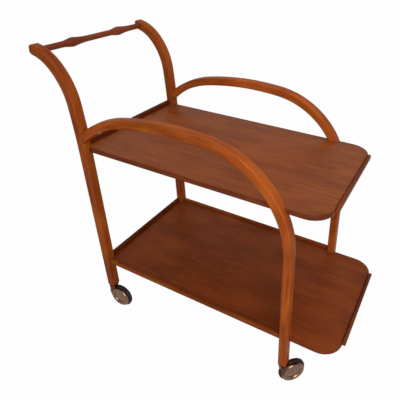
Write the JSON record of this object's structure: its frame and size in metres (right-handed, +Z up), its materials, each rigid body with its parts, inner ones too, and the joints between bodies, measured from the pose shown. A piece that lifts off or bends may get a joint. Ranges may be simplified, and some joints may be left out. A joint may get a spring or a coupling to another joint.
{
  "type": "tea trolley",
  "caption": "Bentwood serving trolley: two lipped trays held by leaning legs and arched side hoops, with a turned push bar and swivel casters.",
  "frame": {"origin": "middle of the bounding box, on the floor", "axes": "+X towards the front, +Y to the left, +Z up; the push bar is at the -X end"},
  "size_m": [0.8648, 0.427, 0.797],
  "materials": {
    "bentwood": "gloss lacquer",
    "turned_wood": "gloss lacquer",
    "veneer": "gloss lacquer",
    "lip_wood": "gloss lacquer",
    "dowel_wood": "bare",
    "steel": "satin",
    "plated_metal": "polished",
    "tyre": "matte"
  },
  "bodies": {
    "frame": {"rear_upright_left": "bentwood", "rear_upright_right": "bentwood", "front_hoop_left": "bentwood", "front_hoop_right": "bentwood", "push_bar": "turned_wood", "top_tray": "veneer", "bottom_tray": "veneer", "top_rear_lip": "lip_wood", "top_front_lip": "lip_wood", "bottom_rear_lip": "lip_wood", "bottom_front_lip": "lip_wood", "bottom_side_lip_left": "lip_wood", "bottom_side_lip_right": "lip_wood", "hoop_dowels": "dowel_wood", "top_tray_dowels": "dowel_wood", "bottom_tray_dowels": "dowel_wood", "caster_socket_front_left": "steel", "caster_socket_front_right": "steel", "caster_socket_rear_left": "steel", "caster_socket_rear_right": "steel"},
    "swivel_front_left": {"caster_stem_front_left": "steel", "caster_horn_front_left": "plated_metal", "caster_axle_front_left": "steel", "caster_cap_front_left": "plated_metal"},
    "wheel_front_left": {"caster_wheel_front_left": "plated_metal", "caster_tyre_front_left": "tyre"},
    "swivel_front_right": {"caster_stem_front_right": "steel", "caster_horn_front_right": "plated_metal", "caster_axle_front_right": "steel", "caster_cap_front_right": "plated_metal"},
    "wheel_front_right": {"caster_wheel_front_right": "plated_metal", "caster_tyre_front_right": "tyre"},
    "swivel_rear_left": {"caster_stem_rear_left": "steel", "caster_horn_rear_left": "plated_metal", "caster_axle_rear_left": "steel", "caster_cap_rear_left": "plated_metal"},
    "wheel_rear_left": {"caster_wheel_rear_left": "plated_metal", "caster_tyre_rear_left": "tyre"},
    "swivel_rear_right": {"caster_stem_rear_right": "steel", "caster_horn_rear_right": "plated_metal", "caster_axle_rear_right": "steel", "caster_cap_rear_right": "plated_metal"},
    "wheel_rear_right": {"caster_wheel_rear_right": "plated_metal", "caster_tyre_rear_right": "tyre"}
  },
  "joints": [
    {"name": "swivel_front_left", "type": "hinge", "parent": "frame", "child": "swivel_front_left", "pos_m": [0.29908, 0.1983, 0.079], "axis": [0, 0, 1], "continuous": true},
    {"name": "spin_front_left", "type": "hinge", "parent": "swivel_front_left", "child": "wheel_front_left", "pos_m": [0.28045, 0.17739, 0.0375], "axis": [0.7466, -0.6652, 0], "continuous": true},
    {"name": "swivel_front_right", "type": "hinge", "parent": "frame", "child": "swivel_front_right", "pos_m": [0.29908, -0.1983, 0.079], "axis": [0, 0, 1], "continuous": true},
    {"name": "spin_front_right", "type": "hinge", "parent": "swivel_front_right", "child": "wheel_front_right", "pos_m": [0.31771, -0.17739, 0.0375], "axis": [-0.7466, 0.6652, 0], "continuous": true},
    {"name": "swivel_rear_left", "type": "hinge", "parent": "frame", "child": "swivel_rear_left", "pos_m": [-0.28182, 0.1983, 0.079], "axis": [0, 0, 1], "continuous": true},
    {"name": "spin_rear_left", "type": "hinge", "parent": "swivel_rear_left", "child": "wheel_rear_left", "pos_m": [-0.30982, 0.19781, 0.0375], "axis": [0.0175, -0.9998, 0], "continuous": true},
    {"name": "swivel_rear_right", "type": "hinge", "parent": "frame", "child": "swivel_rear_right", "pos_m": [-0.28182, -0.1983, 0.079], "axis": [0, 0, 1], "continuous": true},
    {"name": "spin_rear_right", "type": "hinge", "parent": "swivel_rear_right", "child": "wheel_rear_right", "pos_m": [-0.25383, -0.19781, 0.0375], "axis": [-0.0175, 0.9998, 0], "continuous": true}
  ]
}
